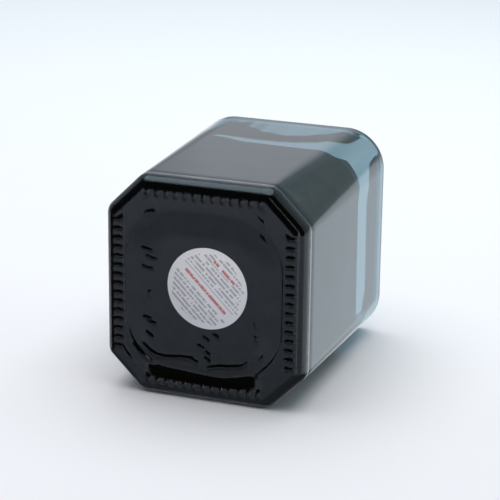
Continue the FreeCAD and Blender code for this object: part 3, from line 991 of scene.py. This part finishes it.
def floor_material():
    """A matt floor: painted light makes it paler towards the far side, painted shade darker near the
    camera. It shows from its front alone, so it never hides the jar from behind."""
    material, tree, shader = new_material("floor_painted_shade")
    point = node(tree, "ShaderNodeNewGeometry")
    depth = node(tree, "ShaderNodeSeparateXYZ", {0: point.outputs["Position"]}).outputs["Z"]
    # painted shade near the camera, painted light towards the far side
    tint = mix_colour(tree, step_node(tree, depth, *FLOOR_SHADE_FADE), FLOOR_NEAR_PAINTED_SHADE, FLOOR_FAR_PAINTED_LIGHT)
    set_inputs(tree, shader, {"Base Color": tint, "Roughness": 0.9, "Specular IOR Level": 0.1})
    clear = node(tree, "ShaderNodeBsdfTransparent").outputs[0]
    sides = {0: point.outputs["Backfacing"], 1: shader.outputs[0], 2: clear}
    either = node(tree, "ShaderNodeMixShader", sides).outputs[0]
    set_inputs(tree, tree.nodes["Material Output"], {"Surface": either})
    return material


def make_floor(name, place, turn, material):
    """A wide plane that only the camera sees; it takes the jar's shadow and casts none."""
    mesh = bpy.data.meshes.new(name)
    reach = FLOOR_REACH
    corners = [(-reach, -reach, 0), (reach, -reach, 0), (reach, reach, 0), (-reach, reach, 0)]
    mesh.from_pydata(corners, [], [(0, 1, 2, 3)])
    floor = new_object(name, mesh)
    floor.location = place
    floor.rotation_euler = turn
    mesh.materials.append(material)
    for ray in ("diffuse", "glossy", "transmission", "shadow", "volume_scatter"):
        setattr(floor, f"visible_{ray}", False)


floor_painted_shade = floor_material()
# the photograph's floor, which the lying jar's +Y side rests on
upright = (math.radians(90.0), 0.0, 0.0)
make_floor("floor_lying", (0.0, cad_high.y + FLOOR_GAP, 0.0), upright, floor_painted_shade)
# the floor for the jar standing on its base, seen from above
make_floor("floor_standing", (0.0, 0.0, cad_low.z - FLOOR_GAP), (0.0, 0.0, 0.0), floor_painted_shade)


def make_world():
    """The studio round the lying jar: pale beyond it and overhead, a floor that dims under the jar's
    near edge, and a dark room behind the camera. The camera itself sees a plain backdrop."""
    world = bpy.data.worlds.new("studio")
    bpy.context.scene.world = world
    world.use_nodes = True
    tree = world.node_tree
    direction = node(tree, "ShaderNodeTexCoord").outputs["Generated"]
    axes = node(tree, "ShaderNodeSeparateXYZ", {0: direction})
    x, y, z = axes.outputs["X"], axes.outputs["Y"], axes.outputs["Z"]
    # beyond the jar: the room above the horizon and the floor below it, both by X
    share = step_node(tree, x, -1.0, 1.0, "LINEAR")
    upper = ramp_node(tree, share, *BEYOND_UPPER)
    lower = ramp_node(tree, share, *BEYOND_LOWER)
    beyond = mix_colour(tree, step_node(tree, y, *HORIZON), upper, lower)
    beyond = mix_colour(tree, step_node(tree, y, *UNDER_EDGE), beyond, UNDER_COLOUR)
    # the camera's side: ceiling, dark room and floor by Y
    near = ramp_node(tree, step_node(tree, y, -1.0, 1.0, "LINEAR"), *CAMERA_SIDE)
    near = mix_colour(tree, step_node(tree, x, *CORNER_EDGE), near, CORNER_COLOUR)
    window = product(tree, step_node(tree, x, *WINDOW_EDGE), step_node(tree, z, *WINDOW_DEPTH))
    near = mix_colour(tree, window, near, WINDOW_COLOUR)
    lit = mix_colour(tree, step_node(tree, z, *ROOM_EDGE), beyond, near)
    ray = node(tree, "ShaderNodeLightPath")
    ceiling = mix_colour(tree, ray.outputs["Is Glossy Ray"], CEILING_COLOUR, CEILING_MIRRORED)
    lit = mix_colour(tree, step_node(tree, y, *CEILING_EDGE), lit, ceiling)
    colour = mix_colour(tree, ray.outputs["Is Camera Ray"], lit, BACKDROP_COLOUR)
    set_inputs(tree, tree.nodes["Background"], {"Color": colour})


def make_lamp(name, place, size, energy, through_glass):
    """A soft square lamp that points at the jar. It never shows in a reflection or to the camera."""
    lamp = bpy.data.lights.new(name, "AREA")
    lamp.size = size
    lamp.energy = energy
    obj = new_object(name, lamp)
    obj.location = place
    obj.rotation_euler = (JAR_MIDDLE - Vector(place)).to_track_quat("-Z", "Y").to_euler()
    obj.visible_camera = False
    obj.visible_glossy = False
    obj.visible_transmission = through_glass


make_world()
for lamp_settings in LAMPS:
    make_lamp(*lamp_settings)


def make_camera():
    """The photograph's viewpoint: low to the right of the lying jar, looking at its base."""
    azimuth = math.radians(CAMERA_AZIMUTH)
    elevation = math.radians(CAMERA_ELEVATION)
    level = math.cos(elevation)
    back = Vector((math.sin(azimuth) * level, -math.sin(elevation), -math.cos(azimuth) * level))
    photo_up = Vector((0.0, -1.0, 0.0))
    right = photo_up.cross(back).normalized()
    up = back.cross(right)
    turn = Matrix((right, up, back)).transposed().to_4x4()
    data = bpy.data.cameras.new("camera")
    data.sensor_width = 36.0
    data.lens = CAMERA_LENS
    camera = new_object("camera", data)
    roll = Matrix.Rotation(math.radians(CAMERA_ROLL), 4, "Z")
    camera.matrix_world = Matrix.Translation(CAMERA_AIM + back * CAMERA_DISTANCE) @ turn @ roll
    bpy.context.scene.camera = camera


make_camera()

scene = bpy.context.scene
scene.view_settings.view_transform = "Standard"
scene.cycles.max_bounces = 24
scene.cycles.transmission_bounces = 24
scene.cycles.transparent_max_bounces = 16
